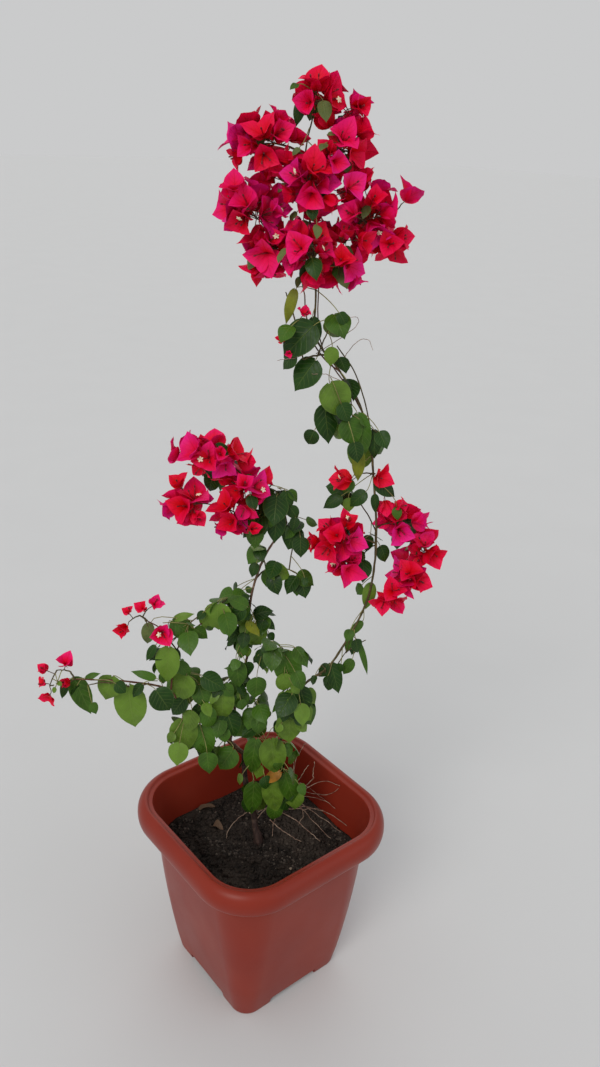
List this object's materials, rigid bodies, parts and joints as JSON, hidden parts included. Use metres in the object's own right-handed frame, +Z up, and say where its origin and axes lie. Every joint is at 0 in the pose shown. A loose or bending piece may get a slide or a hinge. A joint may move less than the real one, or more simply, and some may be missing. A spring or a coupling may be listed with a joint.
{
  "type": "potted bougainvillea bush",
  "caption": "Climbing bougainvillea with crimson bract clusters and green leaves on slender stems, growing in a square plastic planter.",
  "frame": {"origin": "centre of the planter's underside, on the flat pad that stands level with its corner feet", "axes": "+Z up along the plant, X and Y along the planter's sides; the bush's broad side faces -X and -Y"},
  "size_m": [0.6998, 0.43, 1.7669],
  "materials": {
    "pot_plastic": "satin",
    "potting_soil": "matte",
    "bark": "matte",
    "leaf": "satin",
    "bract": "matte",
    "dry_twig": "matte"
  },
  "bodies": {
    "root": {"pot": "pot_plastic", "soil": "potting_soil", "trunk": "bark", "left_bough": "bark", "centre_stem": "bark", "front_stem": "bark", "right_stem": "bark", "climbing_stem": "bark", "twin_stem": "bark", "top_stem": "bark", "left_shoot": "bark", "left_arch": "bark", "left_spray": "bark", "base_leaves": "leaf", "left_low_leaves": "leaf", "left_shoot_leaves": "leaf", "left_arch_leaves": "leaf", "centre_low_leaves": "leaf", "centre_mid_leaves": "leaf", "centre_top_leaves": "leaf", "front_leaves": "leaf", "right_leaves": "leaf", "right_bloom_leaves": "leaf", "climbing_low_leaves": "leaf", "climbing_high_leaves": "leaf", "left_tip_blooms": "bract", "left_spray_blooms": "bract", "left_blooms": "bract", "right_inner_blooms": "bract", "right_outer_blooms": "bract", "right_upper_blooms": "bract", "top_low_left_blooms": "bract", "top_low_middle_blooms": "bract", "top_low_right_blooms": "bract", "top_middle_blooms": "bract", "top_left_blooms": "bract", "top_right_blooms": "bract", "crown_blooms": "bract", "dry_twigs": "dry_twig"}
  },
  "joints": []
}
